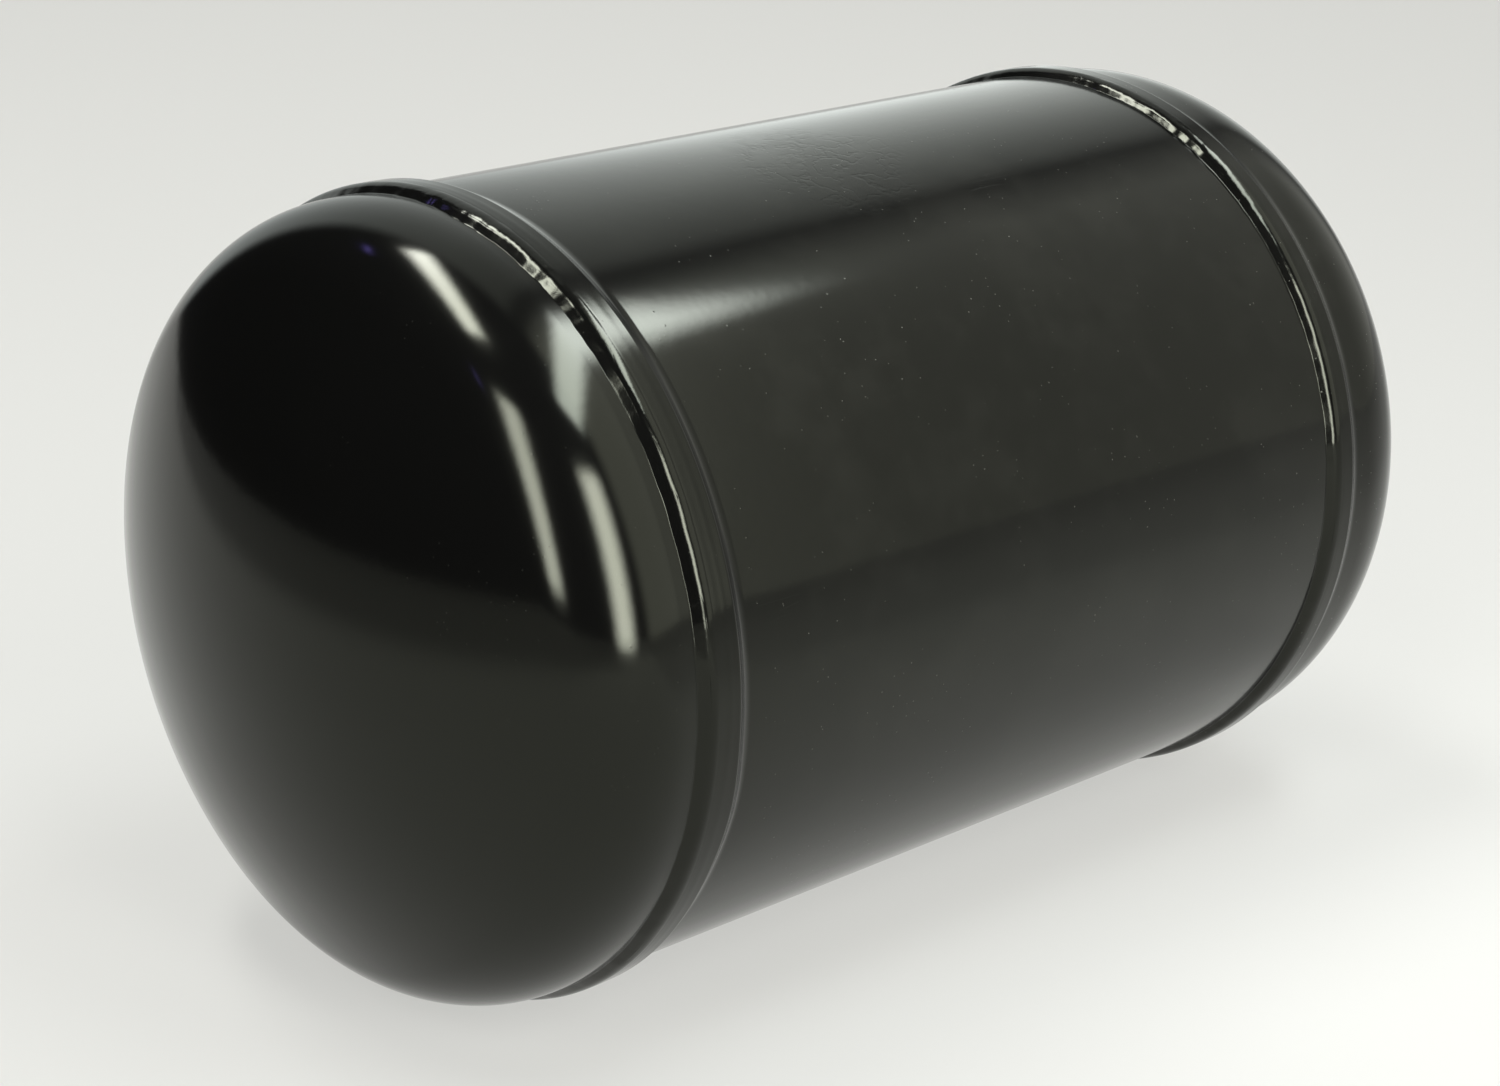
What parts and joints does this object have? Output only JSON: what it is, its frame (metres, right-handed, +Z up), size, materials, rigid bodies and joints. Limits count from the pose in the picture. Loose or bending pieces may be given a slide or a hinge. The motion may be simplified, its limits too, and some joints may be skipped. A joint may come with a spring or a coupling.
{
  "type": "horizontal pressure tank",
  "caption": "Small horizontal compressed-air tank of black-painted steel: a rolled shell with expanded ends, dished heads, ragged girth welds and threaded bosses at the back.",
  "frame": {"origin": "on the floor, under the middle of the tank's length and under its axis", "axes": "+X along the tank from the front head to the rear head, +Y to the back where the bosses are, +Z up"},
  "size_m": [0.487, 0.2822, 0.2822],
  "materials": {
    "black_paint": "gloss enamel",
    "black_weld": "gloss enamel over a ragged weld",
    "black_boss": "gloss enamel over turned steel"
  },
  "bodies": {
    "root": {"shell": "black_paint", "front_head": "black_paint", "rear_head": "black_paint", "front_girth_weld": "black_weld", "rear_girth_weld": "black_weld", "seam_weld": "black_weld", "inlet_boss": "black_boss", "inlet_boss_weld": "black_weld", "outlet_boss": "black_boss", "outlet_boss_weld": "black_weld", "drain_boss": "black_boss", "drain_boss_weld": "black_weld"}
  },
  "joints": []
}
